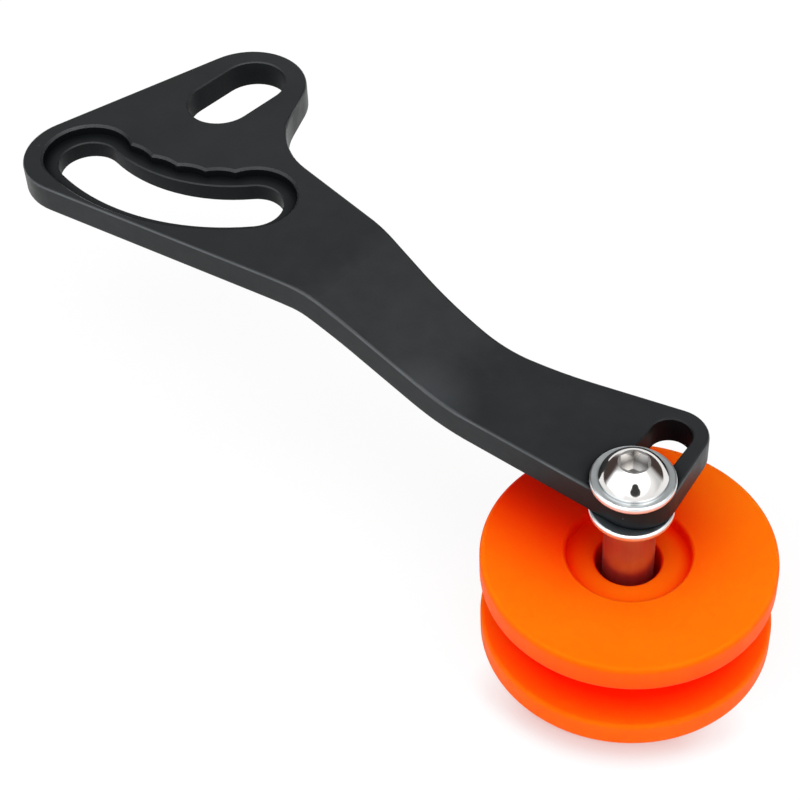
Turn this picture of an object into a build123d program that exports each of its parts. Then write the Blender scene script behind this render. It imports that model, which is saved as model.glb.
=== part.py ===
"""Bicycle chain tensioner: a cranked plate arm with a grooved roller on a clamped bolt.

Frame: the origin is the middle of the hanger slot on the back face of the arm's head. +Z points outboard,
along the bolts. +X runs along the arm towards the roller. Sizes are in millimetres.
"""
import os
from math import atan, cos, radians, sin, tan

from build123d import *

# Arm plate and its crank
plate_thickness = 5.0
edge_round = 0.5
crank_offset = 9.0
crank_middle = (55.5, -25.0)
crank_length = 27.6
crank_turn = 5.8
upper_bend_radius = 12.0
lower_bend_radius = 30.0

# Place of the roller bolt, seen from the hanger slot
roller_reach = 101.0
roller_drop = 35.85

# Corners of the arm's outline: place and rounding, two seen from the hanger slot and three from the bolt
lobe_tip = (2.1, 34.25)
lobe_tip_round = 10.5
throat = (14.6, -8.15)
throat_round = 15.5
waist = (-32.5, 12.5)
waist_round = 80.0
tip_far = (5.4, 18.2)
tip_far_round = 5.6
tip_near = (6.7, -5.5)
tip_near_round = 6.3

# The head's straight near edge: the wall it leaves past the recess, its lean and its two corners
near_wall = 1.08
near_edge_lean = 2.64
head_corner_reach = 27.5
head_corner_round = 10.4
belly_reach = 59.1
belly_round = 140.0

# Hanger slot
hanger_slot_width = 11.7
hanger_slot_length = 19.4
hanger_slot_lean = 9.2
slot_edge_break = 0.2

# Arc slot about the hanger bolt, in a recess with one round notch for each setting
pivot = (-0.9, 4.15)
arc_radius = 32.95
arc_slot_width = 10.4
recess_width = 15.2
recess_depth = 1.8
notch_count = 6
notch_pitch = 11.5
first_notch_angle = -18.6
recess_edge_break = 0.4

# Cross slot at the roller end
bolt_diameter = 6.0
cross_slot_clearance = 0.6
cross_slot_travel = 11.5

# Roller bolt, a button head with a hexagon socket
head_diameter = 10.5
head_height = 3.3
head_rim = 0.5
head_flat_diameter = 4.9
head_dome_radius = 5.8
socket_across_flats = 4.0
socket_depth = 2.0
bolt_end_chamfer = 0.6
bolt_overhang = 0.5

# Washers, all three alike
washer_diameter = 13.0
washer_thickness = 1.2
washer_clearance = 0.4
washer_edge_round = 0.4

# Sleeve that the roller runs on
sleeve_diameter = 8.0
sleeve_length = 20.2
sleeve_clearance = 0.2

# Roller
roller_diameter = 46.0
roller_width = 18.7
rim_width = 4.7
groove_root_diameter = 31.0
groove_root_width = 4.6
groove_root_round = 1.5
rim_edge_round = 0.9
roller_bore = 10.3
bore_edge_round = 0.4
top_recess_diameter = 19.4
top_recess_depth = 2.0
nut_pocket_diameter = 19.4
nut_pocket_depth = 8.2
mouth_edge_round = 0.6
running_gap = 0.2

# Self-locking nut with its plastic ring
nut_across_flats = 10.0
nut_height = 6.0
nut_hex_height = 4.4
nut_collar_diameter = 9.2
nut_corner_chamfer = 0.5
thread_clearance = 0.1
ring_diameter = 7.4
ring_height = 1.5

# Levels along Z
head_top = plate_thickness
end_top = plate_thickness - crank_offset
end_back = -crank_offset
sleeve_top = end_back - washer_thickness
sleeve_bottom = sleeve_top - sleeve_length
nut_top = sleeve_bottom - washer_thickness
nut_bottom = nut_top - nut_height
bolt_seat = end_top + washer_thickness
pocket_floor = sleeve_bottom + running_gap
roller_bottom = pocket_floor - nut_pocket_depth
roller_top = roller_bottom + roller_width

bolt_place = (roller_reach, -roller_drop)

# Reach of the solids that are cut to shape later, and what counts as upright
ample = 4 * (roller_reach + roller_diameter)
upright_tolerance = 0.01


def from_bolt(corner):
    """A plan point given from the roller bolt, in the part's own frame."""
    return (corner[0] + bolt_place[0], corner[1] + bolt_place[1])


def axle_tube(outer, bottom, height, bore=0.0):
    """A round piece or ring on the roller bolt's axis."""
    profile = Circle(outer / 2)
    if bore:
        profile -= Circle(bore / 2)
    return Pos(*bolt_place, bottom) * extrude(profile, height)


def slot_cutter(width, length, bottom, height):
    """A slot with round ends along Y, as a solid to cut with."""
    return Pos(0, 0, bottom) * extrude(SlotOverall(length, width, rotation=90), height)


def rounded_polygon(corners):
    """A face with straight edges, each corner a place and the radius that rounds it."""
    face = make_face(Polyline(*[place for place, _ in corners], close=True))
    for place, radius in corners:
        if radius:
            face = fillet(face.vertices().sort_by_distance((*place, 0))[0], radius)
    return face


def near_edge(x):
    """A plan point on the straight edge that runs past the arc slot's recess."""
    lean = radians(near_edge_lean)
    reach = arc_radius + recess_width / 2 + near_wall
    return (x, pivot[1] - reach / cos(lean) + (x - pivot[0]) * tan(lean))


def arm_outline():
    """The arm's outline in plan: straight edges joined by round corners."""
    return rounded_polygon(
        [
            (lobe_tip, lobe_tip_round),
            (throat, throat_round),
            (from_bolt(waist), waist_round),
            (from_bolt(tip_far), tip_far_round),
            (from_bolt(tip_near), tip_near_round),
            (near_edge(bolt_place[0] - belly_reach), belly_round),
            (near_edge(-head_corner_reach), head_corner_round),
        ]
    )


def cranked_sheet():
    """The plate's side profile, with its two bends, drawn across the plan and turned to run with the arm."""
    slope = atan(crank_offset / crank_length)
    shift = plate_thickness * tan(slope / 2)
    start, end = -crank_length / 2, crank_length / 2
    profile = rounded_polygon(
        [
            ((-ample, head_top), 0),
            ((start, head_top), upper_bend_radius + plate_thickness),
            ((end, end_top), lower_bend_radius),
            ((ample, end_top), 0),
            ((ample, end_back), 0),
            ((end - shift, end_back), lower_bend_radius + plate_thickness),
            ((start - shift, 0), upper_bend_radius),
            ((-ample, 0), 0),
        ]
    )
    sheet = Rot(90, 0, 0) * extrude(profile, ample, both=True)
    return Pos(*crank_middle) * Rot(0, 0, -crank_turn) * sheet


def round_rim(plate):
    """Rounds the plate's edges all round its outline, on both faces."""
    walls = plate.faces().filter_by(lambda face: abs(face.normal_at().Z) < upright_tolerance)
    rim = walls.edges().filter_by(lambda edge: abs(edge.tangent_at(0.5).Z) < 1 - upright_tolerance)
    return fillet(rim, edge_round)


def notch_places():
    """The centres of the recess's notches, along the arc about the hanger bolt."""
    angles = [radians(first_notch_angle + notch_pitch * index) for index in range(notch_count)]
    return [(pivot[0] + arc_radius * sin(angle), pivot[1] - arc_radius * cos(angle)) for angle in angles]


def arc_band(*section):
    """A section of radius and height points, swept about the hanger bolt from the first notch to the last."""
    face = Rot(90, 0, 0) * make_face(Polyline(*section, close=True))
    band = revolve(face, Axis.Z, notch_pitch * (notch_count - 1))
    return Pos(*pivot) * Rot(0, 0, first_notch_angle - 90) * band


def arc_slot():
    """The through slot along the arc, with round ends."""
    half = arc_slot_width / 2
    inner, outer = arc_radius - half, arc_radius + half
    below, above = -plate_thickness, 2 * plate_thickness
    slot = arc_band((inner, below), (outer, below), (outer, above), (inner, above))
    for place in (notch_places()[0], notch_places()[-1]):
        slot += Pos(*place, below) * extrude(Circle(half), above - below)
    return slot


def notched_recess():
    """The stepped recess round the arc slot: notches towards the hanger bolt, one smooth arc outside."""
    half = recess_width / 2
    outer = arc_radius + half
    floor, lip = head_top - recess_depth, head_top - recess_edge_break
    flare, above = 2 * recess_edge_break, head_top + recess_edge_break
    recess = arc_band(
        (arc_radius, floor), (outer, floor), (outer, lip), (outer + flare, above), (arc_radius, above)
    )
    for place in notch_places():
        recess += Pos(*place, floor) * extrude(Circle(half), lip - floor)
        base = (Align.CENTER, Align.CENTER, Align.MIN)
        recess += Pos(*place, lip) * Cone(half, half + flare, above - lip, align=base)
    return recess


def cut_slot(plate, cutter):
    """Cuts a slot and takes the sharp edge off its mouths."""
    slotted = plate - cutter
    return chamfer(new_edges(plate, cutter, combined=slotted), slot_edge_break)


def make_arm():
    """The cranked plate with its three slots."""
    plate = round_rim(cranked_sheet() & extrude(arm_outline(), ample, both=True))
    plate = cut_slot(plate - notched_recess(), arc_slot())
    hanger_slot = slot_cutter(hanger_slot_width, hanger_slot_length, -plate_thickness, 3 * plate_thickness)
    plate = cut_slot(plate, Rot(0, 0, -hanger_slot_lean) * hanger_slot)
    width = bolt_diameter + cross_slot_clearance
    length = cross_slot_travel + width
    cross_slot = slot_cutter(width, length, end_back - plate_thickness, 3 * plate_thickness)
    return cut_slot(plate, Pos(bolt_place[0], bolt_place[1] + cross_slot_travel / 2) * cross_slot)


def make_roller():
    """The roller: two rims, a groove for the chain, a bore, a recess on top and a pocket for the nut."""
    outer, root, bore = roller_diameter / 2, groove_root_diameter / 2, roller_bore / 2
    recess, pocket = top_recess_diameter / 2, nut_pocket_diameter / 2
    root_low, root_high = (roller_width - groove_root_width) / 2, (roller_width + groove_root_width) / 2
    corners = [
        ((bore, nut_pocket_depth), bore_edge_round),
        ((pocket, nut_pocket_depth), 0),
        ((pocket, 0), mouth_edge_round),
        ((outer, 0), rim_edge_round),
        ((outer, rim_width), rim_edge_round),
        ((root, root_low), groove_root_round),
        ((root, root_high), groove_root_round),
        ((outer, roller_width - rim_width), rim_edge_round),
        ((outer, roller_width), rim_edge_round),
        ((recess, roller_width), mouth_edge_round),
        ((recess, roller_width - top_recess_depth), 0),
        ((bore, roller_width - top_recess_depth), bore_edge_round),
    ]
    section = rounded_polygon(corners)
    return Pos(*bolt_place, roller_bottom) * revolve(Rot(90, 0, 0) * section, Axis.Z)


def make_washer(bottom):
    """A plain washer, stamped with round outer edges."""
    washer = axle_tube(washer_diameter, bottom, washer_thickness, bolt_diameter + washer_clearance)
    rims = washer.edges().filter_by(GeomType.CIRCLE).sort_by(SortBy.RADIUS)[-2:]
    return fillet(rims, washer_edge_round)


def make_sleeve():
    """The plain tube clamped between the washers."""
    return axle_tube(sleeve_diameter, sleeve_bottom, sleeve_length, bolt_diameter + sleeve_clearance)


def make_bolt():
    """The button-head bolt, with its thread left as a plain shank."""
    half, flat = head_diameter / 2, head_flat_diameter / 2
    rim = Polyline((flat, head_height), (0, head_height), (0, 0), (half, 0), (half, head_rim))
    dome = RadiusArc((half, head_rim), (flat, head_height), -head_dome_radius)
    head = revolve(Rot(90, 0, 0) * make_face([*rim.edges(), dome]), Axis.Z)
    socket = RegularPolygon(socket_across_flats / 2, 6, major_radius=False)
    head -= Pos(0, 0, head_height - socket_depth) * extrude(socket, socket_depth)
    tail = nut_bottom - bolt_overhang
    shank = axle_tube(bolt_diameter, tail, bolt_seat - tail)
    end = shank.edges().filter_by(GeomType.CIRCLE).sort_by(Axis.Z)[0]
    return Pos(*bolt_place, bolt_seat) * head + chamfer(end, bolt_end_chamfer)


def make_nut():
    """The self-locking nut: a hexagon with a round collar that holds the plastic ring."""
    outline = RegularPolygon(nut_across_flats / 2, 6, major_radius=False)
    turned = extrude(Circle(nut_across_flats / 2 / cos(radians(30))), -nut_hex_height)
    turned = chamfer(turned.edges().filter_by(GeomType.CIRCLE), nut_corner_chamfer)
    hexagon = extrude(outline, -nut_hex_height) & turned
    collar = extrude(Circle(nut_collar_diameter / 2), -nut_height)
    nut = Pos(*bolt_place, nut_top) * (hexagon + collar)
    nut -= axle_tube(bolt_diameter + thread_clearance, nut_bottom, nut_height)
    return nut - axle_tube(ring_diameter, nut_bottom, ring_height)


def make_nut_insert():
    """The plastic locking ring in the nut's collar."""
    return axle_tube(ring_diameter, nut_bottom, ring_height, bolt_diameter + thread_clearance)


pieces = {
    "arm": make_arm(),
    "roller": make_roller(),
    "roller_bolt": make_bolt(),
    "top_washer": make_washer(end_top),
    "arm_washer": make_washer(sleeve_top),
    "sleeve": make_sleeve(),
    "end_washer": make_washer(nut_top),
    "lock_nut": make_nut(),
    "nut_insert": make_nut_insert(),
}

os.makedirs("parts", exist_ok=True)
for name, piece in pieces.items():
    export_step(piece, f"parts/{name}.step")
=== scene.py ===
"""Looks of the bicycle chain tensioner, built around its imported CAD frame."""
from math import cos, radians, sin

import bpy
from mathutils import Matrix, Vector


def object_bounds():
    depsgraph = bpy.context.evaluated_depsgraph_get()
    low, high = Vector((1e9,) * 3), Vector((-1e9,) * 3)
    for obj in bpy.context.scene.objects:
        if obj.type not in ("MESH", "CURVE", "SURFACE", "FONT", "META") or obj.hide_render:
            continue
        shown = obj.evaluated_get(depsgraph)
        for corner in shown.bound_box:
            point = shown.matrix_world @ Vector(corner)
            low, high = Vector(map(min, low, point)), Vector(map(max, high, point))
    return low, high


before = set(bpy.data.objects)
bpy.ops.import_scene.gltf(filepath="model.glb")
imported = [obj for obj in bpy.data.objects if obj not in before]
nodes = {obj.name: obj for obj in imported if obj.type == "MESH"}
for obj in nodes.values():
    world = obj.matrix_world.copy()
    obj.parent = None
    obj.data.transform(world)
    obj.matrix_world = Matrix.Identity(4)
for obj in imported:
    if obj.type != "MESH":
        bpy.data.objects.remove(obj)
cad_box = [list(corner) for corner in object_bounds()]
scene = bpy.context.scene

# Camera: the middle of the roller's top face is seen at this pixel and distance
picture_size = 800
focal_pixels = 2000
camera_elevation = radians(45.59)
camera_roll = radians(3.32)
camera_right = Vector((0.8005, 0.599, 0.0)).normalized()
anchor = Vector((0.101, -0.03585, -0.0197))
anchor_pixel = (628.7, 550.6)
anchor_depth = 0.3076
sensor_width = 36.0
clip_start, clip_end = 0.01, 20

# Floor, just under the part so that no two faces share a plane. This share of what is seen of it is plain white
floor_gap = 0.00005
floor_level = cad_box[0][2] - floor_gap
floor_middle = (0.05, 0, floor_level)
floor_radius = 6
floor_sides = 96
floor_colour = (0.8, 0.8, 0.8)
plain_white = (1, 1, 1)
plain_white_share = 0.88

# Painted contact shadow on the floor in front of the roller, tinted pink as by the roller's bounced light: its
# spot, seen from the floor's middle, and how far the part casts it. It fades as the floor gets this open, and
# at these distances from the spot
painted_shadow_spot = (0.0592, -0.0585, 0)
painted_shadow_colour = (0.78, 0.52, 0.5)
painted_shadow_reach = 0.005
painted_shadow_samples = 6
painted_shadow_openness = (0.62, 0.96)
painted_shadow_fade = (0.011, 0.024)

# Where the roller's painted red shade changes, each from start to end: two distances from its axis, then two
# heights
recess_wall = (0.0095, 0.0105)
rim_edge = (0.0225, 0.023)
groove_top = (-0.0256, -0.0246)
lower_rim = (floor_level + 0.0042, floor_level + 0.0062)

# Painted sheen on the arm's crank, a highlight put into the coat's colour: its middle, and the distances over
# which it fades
painted_sheen_spot = (0.0665, -0.0388, -0.001)
painted_sheen_fade = (0.001, 0.009)

# Noise: its roughness, and the band that most of its values lie in
noise_roughness = 0.55
noise_band = (0.3, 0.7)
fold_samples = 12

room_colour = (0.7, 0.7, 0.7)


def camera_axes():
    """The camera's right, down and forward directions."""
    up = Vector((0, 0, 1))
    ahead = up.cross(camera_right)
    forward = ahead * cos(camera_elevation) - up * sin(camera_elevation)
    down = forward.cross(camera_right)
    right = camera_right * cos(camera_roll) + down * sin(camera_roll)
    lower = down * cos(camera_roll) - camera_right * sin(camera_roll)
    return right, lower, forward


def add_camera():
    """The photograph's view."""
    data = bpy.data.cameras.new("camera")
    data.sensor_width = sensor_width
    data.lens = sensor_width * focal_pixels / picture_size
    data.clip_start = clip_start
    data.clip_end = clip_end
    camera = bpy.data.objects.new("camera", data)
    scene.collection.objects.link(camera)
    right, lower, forward = camera_axes()
    across = (anchor_pixel[0] - picture_size / 2) / focal_pixels * anchor_depth
    below = (anchor_pixel[1] - picture_size / 2) / focal_pixels * anchor_depth
    place = anchor - right * across - lower * below - forward * anchor_depth
    turn = Matrix((right, -lower, -forward)).transposed().to_4x4()
    camera.matrix_world = Matrix.Translation(place) @ turn
    scene.camera = camera


class Shade:
    """A material's node tree, with short ways to add the nodes that are used here."""

    def __init__(self, name):
        self.material = bpy.data.materials.new(name)
        self.material.use_nodes = True
        self.tree = self.material.node_tree
        self.surface = self.tree.nodes["Principled BSDF"]
        self.place = self.add("ShaderNodeTexCoord").outputs["Object"]

    def add(self, kind, **settings):
        """A new node of this kind, with these settings."""
        node = self.tree.nodes.new(kind)
        for key, value in settings.items():
            setattr(node, key, value)
        return node

    def link(self, source, target):
        """Joins an output to an input."""
        self.tree.links.new(source, target)

    def set(self, **values):
        """Sets constants on the shader itself."""
        for key, value in values.items():
            self.surface.inputs[key.replace("_", " ")].default_value = value

    def noise(self, size, detail=3.0, place=None):
        """Noise whose features are about this wide, in metres."""
        node = self.add("ShaderNodeTexNoise")
        self.link(place or self.place, node.inputs["Vector"])
        node.inputs["Scale"].default_value = 1 / size
        node.inputs["Detail"].default_value = detail
        node.inputs["Roughness"].default_value = noise_roughness
        return node.outputs["Fac"]

    def openness(self, distance, samples=fold_samples):
        """One where nothing lies near, falling to nought in folds narrower than this distance."""
        node = self.add("ShaderNodeAmbientOcclusion", samples=samples)
        node.inputs["Distance"].default_value = distance
        return node.outputs["AO"]

    def height(self):
        """The place's height in the part's own frame."""
        node = self.add("ShaderNodeSeparateXYZ")
        self.link(self.place, node.inputs["Vector"])
        return node.outputs["Z"]

    def facing_up(self):
        """How far the surface faces up, from minus one to one."""
        node = self.add("ShaderNodeSeparateXYZ")
        self.link(self.add("ShaderNodeTexCoord").outputs["Normal"], node.inputs["Vector"])
        return node.outputs["Z"]

    def distance(self, spot, place=None):
        """The place's distance from a spot, in metres."""
        node = self.add("ShaderNodeVectorMath", operation="DISTANCE")
        self.link(place or self.place, node.inputs[0])
        node.inputs[1].default_value = spot
        return node.outputs["Value"]

    def axis_distance(self, axis_place):
        """The place's distance from an upright axis, in metres."""
        return self.distance((axis_place.x, axis_place.y, 0), self.stretched((1, 1, 0)))

    def specks(self, spacing):
        """Distance to the nearest of scattered points, in shares of their spacing."""
        node = self.add("ShaderNodeTexVoronoi")
        self.link(self.place, node.inputs["Vector"])
        node.inputs["Scale"].default_value = 1 / spacing
        return node.outputs["Distance"]

    def stretched(self, factors):
        """The place, scaled differently along each axis."""
        node = self.add("ShaderNodeVectorMath", operation="MULTIPLY")
        self.link(self.place, node.inputs[0])
        node.inputs[1].default_value = factors
        return node.outputs["Vector"]

    def span(self, value, low, high, start=noise_band[0], end=noise_band[1]):
        """A value brought from start..end to low..high."""
        node = self.add("ShaderNodeMapRange")
        self.link(value, node.inputs["Value"])
        for key, number in (("From Min", start), ("From Max", end), ("To Min", low), ("To Max", high)):
            node.inputs[key].default_value = number
        return node.outputs["Result"]

    def mottle(self, size, detail=3.0):
        """Noise that runs from nought to one."""
        return self.span(self.noise(size, detail), 0, 1)

    def blend(self, factor, first, second):
        """A colour between two, by factor. Each may be another blend."""
        node = self.add("ShaderNodeMix", data_type="RGBA")
        self.link(factor, node.inputs["Factor"])
        for key, colour in (("A", first), ("B", second)):
            socket = [s for s in node.inputs if s.name == key and s.type == "RGBA"][0]
            if isinstance(colour, tuple):
                socket.default_value = (*colour, 1)
            else:
                self.link(colour, socket)
        return [s for s in node.outputs if s.type == "RGBA"][0]

    def combine(self, operation, first, second):
        """Two values put together. The second may be a plain number."""
        node = self.add("ShaderNodeMath", operation=operation)
        self.link(first, node.inputs[0])
        if isinstance(second, float):
            node.inputs[1].default_value = second
        else:
            self.link(second, node.inputs[1])
        return node.outputs["Value"]

    def colour(self, socket):
        """Gives the surface its colour."""
        self.link(socket, self.surface.inputs["Base Color"])

    def rough(self, socket):
        """Gives the surface its roughness."""
        self.link(socket, self.surface.inputs["Roughness"])

    def bump(self, height, depth, strength):
        """Fine relief of this depth, in metres."""
        node = self.add("ShaderNodeBump")
        self.link(height, node.inputs["Height"])
        node.inputs["Distance"].default_value = depth
        node.inputs["Strength"].default_value = strength
        self.link(node.outputs["Normal"], self.surface.inputs["Normal"])


def arm_coat():
    """Satin black coat: faintly mottled, with a fine pebbled skin and a few specks, painted shade in its folds,
    a painted highlight on the crank, and lighter edges that are partly worn coat, partly painted highlight.
    """
    shade = Shade("arm_coat")
    black, greyer_black, painted_fold_shade = (0.0085, 0.01, 0.0108), (0.0122, 0.0142, 0.0154), (0.005, 0.006, 0.0068)
    painted_sheen_grey, edge_wear_and_highlight_grey, speck_grey = (0.036, 0.04, 0.045), (0.075, 0.08, 0.085), (0.07, 0.07, 0.068)
    coat = shade.blend(shade.mottle(size=0.011, detail=4), black, greyer_black)
    # Painted shade: the coat turns darker in slots, recesses and other folds
    openness = shade.openness(distance=0.02)
    coat = shade.blend(shade.span(openness, 1, 0, start=0.6, end=0.95), coat, painted_fold_shade)

    # A painted sheen on the crank's upper face: a lighter patch that stands in for a highlight
    upward = shade.facing_up()
    painted_sheen = shade.span(shade.distance(painted_sheen_spot), 0.8, 0, *painted_sheen_fade)
    painted_sheen = shade.combine("MULTIPLY", painted_sheen, shade.span(upward, 0, 1, start=0.5, end=0.85))
    coat = shade.blend(painted_sheen, coat, painted_sheen_grey)

    # Lighter patches on the rounded edges, mostly on the outer ones: partly worn coat, partly a painted
    # highlight
    past_side = shade.span(upward, 0, 1, start=0.2, end=0.45)
    before_top = shade.span(upward, 1, 0, start=0.7, end=0.86)
    rounding = shade.combine("MULTIPLY", past_side, before_top)
    outer = shade.combine("MULTIPLY", rounding, shade.span(openness, 0.1, 1, start=0.92, end=1.0))
    edge_wear_and_highlight = shade.combine("MULTIPLY", outer, shade.span(shade.noise(size=0.006), 0.45, 1))
    coat = shade.blend(edge_wear_and_highlight, coat, edge_wear_and_highlight_grey)

    specks = shade.span(shade.specks(spacing=0.007), 1, 0, start=0.012, end=0.022)
    shade.colour(shade.blend(specks, coat, speck_grey))
    shade.rough(shade.span(shade.noise(size=0.0024, detail=4), 0.34, 0.44))

    # Painted shade on the gloss: folds and cut sides reflect less than the open upper faces
    gloss = shade.span(openness, 0.06, 0.5, start=0.72, end=0.98)
    gloss = shade.combine("MULTIPLY", gloss, shade.span(upward, 0.4, 1, start=0.1, end=0.4))
    shade.link(gloss, shade.surface.inputs["Specular IOR Level"])
    shade.bump(shade.noise(size=0.0006, detail=2), depth=0.00003, strength=0.5)
    return shade.material


def roller_plastic():
    """Moulded orange plastic that lets red light through, with painted red shade in its folds and round its
    upper rim.
    """
    shade = Shade("roller_plastic")
    orange, paler_orange, painted_shade_red = (0.95, 0.166, 0.0015), (0.96, 0.182, 0.0025), (0.98, 0.014, 0.0003)
    skin = shade.blend(shade.mottle(size=0.014), orange, paler_orange)
    height = shade.height()
    radius = shade.axis_distance(anchor)

    # Painted red shade in folds, by how open each place is: the recess passes as more open than it is, and what
    # lies below the groove's top as a little less
    recess = shade.span(radius, 0.19, 0, *recess_wall)
    groove = shade.span(height, -0.06, 0, *groove_top)
    openness = shade.combine("ADD", shade.openness(distance=0.025), shade.combine("ADD", recess, groove))
    folds = shade.span(openness, 1, 0, start=0.55, end=0.91)

    # The painted red shade of the folds is weaker on the lower rim, and the upper rim's side gets painted shade
    # of its own
    folds = shade.combine("MULTIPLY", folds, shade.span(height, 0.4, 1, *lower_rim))
    side = shade.span(radius, 0, 0.4, *rim_edge)
    painted_rim_shade = shade.combine("MULTIPLY", side, shade.span(height, 0, 1, *groove_top))
    shade.colour(shade.blend(shade.combine("ADD", folds, painted_rim_shade), skin, painted_shade_red))

    shade.set(
        Subsurface_Weight=0.5, Subsurface_Radius=(1.0, 0.1, 0.03), Subsurface_Scale=0.004,
        Specular_IOR_Level=0.12, Specular_Tint=(1.0, 0.22, 0.03, 1),
    )
    shade.rough(shade.span(shade.noise(size=0.0016, detail=4), 0.48, 0.6))
    shade.bump(shade.noise(size=0.0005, detail=2), depth=0.00002, strength=0.4)
    return shade.material


def polished_steel():
    """Bright plating with faint rubbing marks, and painted shade in its hollows."""
    shade = Shade("polished_steel")
    plating, brighter_plating, crevice_shade_colour = (0.78, 0.76, 0.74), (0.84, 0.82, 0.8), (0.2, 0.19, 0.18)
    shade.set(Metallic=1.0)
    plate = shade.blend(shade.mottle(size=0.003, detail=4), plating, brighter_plating)
    # Painted shade: the plating turns darker where other surfaces lie close
    painted_crevice_shade = shade.span(shade.openness(distance=0.003), 1, 0, start=0.3, end=0.8)
    shade.colour(shade.blend(painted_crevice_shade, plate, crevice_shade_colour))
    shade.rough(shade.span(shade.noise(size=0.0012, detail=5), 0.06, 0.12))
    shade.bump(shade.noise(size=0.0012), depth=0.00001, strength=0.3)
    return shade.material


def zinc_steel():
    """Zinc plating: bluish, with a soft even gloss, and painted shade where pieces meet."""
    shade = Shade("zinc_steel")
    zinc, brighter_zinc, crevice_shade_colour = (0.83, 0.89, 0.91), (0.91, 0.95, 0.96), (0.1, 0.16, 0.22)
    shade.set(Metallic=1.0)
    plate = shade.blend(shade.mottle(size=0.0024), zinc, brighter_zinc)
    # Painted shade: the plating turns darker where pieces meet
    painted_crevice_shade = shade.span(shade.openness(distance=0.008), 1, 0, start=0.25, end=0.75)
    shade.colour(shade.blend(painted_crevice_shade, plate, crevice_shade_colour))
    shade.rough(shade.span(shade.noise(size=0.0018, detail=4), 0.28, 0.36))
    shade.bump(shade.noise(size=0.0007), depth=0.000008, strength=0.3)
    return shade.material


def turned_steel():
    """A plain tube, drawn smooth, with faint lines along it."""
    shade = Shade("turned_steel")
    steel, brighter_steel = (0.52, 0.43, 0.38), (0.58, 0.49, 0.43)
    along_tube = (1.0, 1.0, 0.06)
    shade.set(Metallic=1.0)
    lines = shade.noise(size=0.0008, place=shade.stretched(along_tube))
    shade.colour(shade.blend(shade.span(lines, 0, 1), steel, brighter_steel))
    shade.rough(shade.span(shade.noise(size=0.003), 0.3, 0.36))
    shade.bump(lines, depth=0.000002, strength=0.2)
    return shade.material


def nylon():
    """The nut's plain plastic ring."""
    shade = Shade("nylon")
    white, paler_white = (0.7, 0.7, 0.66), (0.8, 0.8, 0.77)
    shade.colour(shade.blend(shade.mottle(size=0.0012), white, paler_white))
    shade.set(Subsurface_Weight=0.2, Subsurface_Radius=(1.0, 0.9, 0.7), Subsurface_Scale=0.0015)
    shade.rough(shade.span(shade.noise(size=0.0007), 0.4, 0.55))
    shade.bump(shade.noise(size=0.0005, detail=2), depth=0.00002, strength=0.4)
    return shade.material


def dress():
    """Gives every CAD node its material."""
    zinc = zinc_steel()
    looks = {
        "arm": arm_coat(),
        "roller": roller_plastic(),
        "roller_bolt": polished_steel(),
        "top_washer": zinc,
        "arm_washer": zinc,
        "end_washer": zinc,
        "lock_nut": zinc,
        "sleeve": turned_steel(),
        "nut_insert": nylon(),
    }
    for name, material in looks.items():
        nodes[name].data.materials.clear()
        nodes[name].data.materials.append(material)


def seen_rays(shade):
    """One for what the camera and mirror-like surfaces see, nought for the light that falls on the object."""
    rays = shade.add("ShaderNodeLightPath").outputs
    seen = rays["Is Camera Ray"]
    for name in ("Is Glossy Ray", "Is Transmission Ray"):
        seen = shade.combine("MAXIMUM", seen, rays[name])
    return seen


def add_floor():
    """A wide white floor that keeps a faint part of the object's shadow, with a painted pink contact shadow in
    front of the roller.
    """
    bpy.ops.mesh.primitive_circle_add(
        vertices=floor_sides, radius=floor_radius, fill_type="NGON", location=floor_middle
    )
    floor = bpy.context.object
    floor.name = "floor"
    shade = Shade("floor")
    shade.set(Roughness=1, Specular_IOR_Level=0)
    seen = seen_rays(shade)
    shade.colour(shade.blend(seen, floor_colour, plain_white))

    # Painted contact shadow: the plain white turns pinkish grey near where the roller stands
    open_floor = shade.span(shade.openness(painted_shadow_reach, painted_shadow_samples), 0, 1, *painted_shadow_openness)
    far_floor = shade.span(shade.distance(painted_shadow_spot), 0, 1, *painted_shadow_fade)
    clear = shade.combine("MAXIMUM", open_floor, far_floor)
    light = shade.add("ShaderNodeEmission")
    shade.link(shade.blend(clear, painted_shadow_colour, plain_white), light.inputs["Color"])

    mix = shade.add("ShaderNodeMixShader")
    shade.link(shade.combine("MULTIPLY", seen, plain_white_share), mix.inputs["Fac"])
    shade.link(shade.surface.outputs[0], mix.inputs[1])
    shade.link(light.outputs[0], mix.inputs[2])
    shade.link(mix.outputs[0], shade.tree.nodes["Material Output"].inputs["Surface"])
    floor.data.materials.append(shade.material)


def towards_camera(elevation):
    """A direction on the camera's side, this many degrees above the horizon. Past 90 it leans away behind."""
    _, _, forward = camera_axes()
    flat = Vector((-forward.x, -forward.y, 0)).normalized()
    return flat * cos(radians(elevation)) + Vector((0, 0, sin(radians(elevation))))


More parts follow.
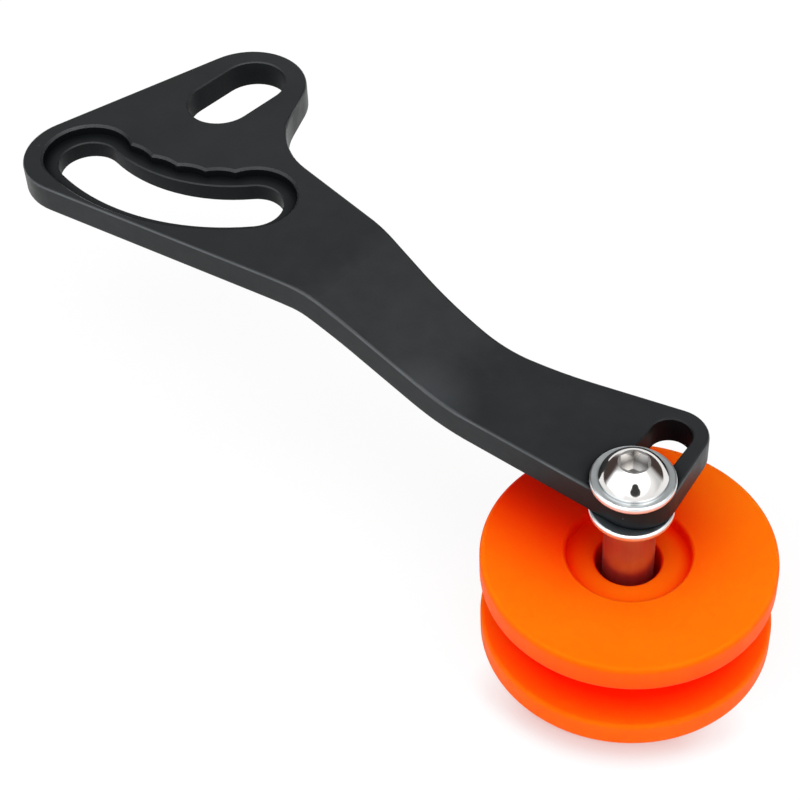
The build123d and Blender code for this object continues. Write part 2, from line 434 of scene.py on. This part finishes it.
def near_direction(tree, place, direction, start, end):
    """Rises from nought to one where the angle to a direction falls from start to end degrees."""
    dot = tree.nodes.new("ShaderNodeVectorMath")
    dot.operation = "DOT_PRODUCT"
    tree.links.new(place, dot.inputs[0])
    dot.inputs[1].default_value = direction
    zone = tree.nodes.new("ShaderNodeMapRange")
    zone.interpolation_type = "SMOOTHSTEP"
    tree.links.new(dot.outputs["Value"], zone.inputs["Value"])
    zone.inputs["From Min"].default_value = cos(radians(start))
    zone.inputs["From Max"].default_value = cos(radians(end))
    return zone.outputs["Result"]


def world_blend(tree, factor, first, second):
    """A world colour between two, by factor. The first may be another blend."""
    mix = tree.nodes.new("ShaderNodeMix")
    mix.data_type = "RGBA"
    tree.links.new(factor, mix.inputs[0])
    if isinstance(first, tuple):
        mix.inputs[6].default_value = (*first, 1)
    else:
        tree.links.new(first, mix.inputs[6])
    mix.inputs[7].default_value = (*second, 1)
    return mix.outputs[2]


def grey(level):
    """A grey of this brightness."""
    return (level, level, level)


def room_zones():
    """The room's zones: a direction, the angles from it where the zone starts and is full, and a colour."""
    up = Vector((0, 0, 1))
    facing = towards_camera(0)
    left = facing * 0.3 - camera_right * 0.85 + up * 0.45
    zones = [
        (towards_camera(40), 75, 50, grey(1.05)),  # the camera's side of the room
        (towards_camera(135), 42, 22, grey(0.29)),  # the far side, above the object
        (towards_camera(58), 50, 33, grey(2.55)),  # the soft light
        (left, 45, 28, (1.5, 1.55, 1.6)),  # the fill
        (towards_camera(43), 13, 8, grey(0.05)),  # the dark figure by the camera, upper part
        (towards_camera(29), 18, 13, grey(0.05)),  # and lower part
        (-up, 98, 92, grey(1)),  # below the horizon
    ]
    for side in (1, -1):
        corner = camera_right * side * 0.74 - facing * 0.66 + up * 0.12
        zones.append((corner, 42, 24, (0.07, 0.05, 0.045)))
    return zones


def add_world():
    """A studio room that gives all the light. Each zone lies over the ones before it."""
    world = bpy.data.worlds.new("studio")
    world.use_nodes = True
    tree = world.node_tree
    place = tree.nodes.new("ShaderNodeTexCoord").outputs["Generated"]
    colour = room_colour
    for direction, start, end, zone_colour in room_zones():
        zone = near_direction(tree, place, direction.normalized(), start, end)
        colour = world_blend(tree, zone, colour, zone_colour)
    tree.links.new(colour, tree.nodes["Background"].inputs["Color"])
    scene.world = world


add_camera()
dress()
add_floor()
add_world()

scene.view_settings.view_transform = "Standard"
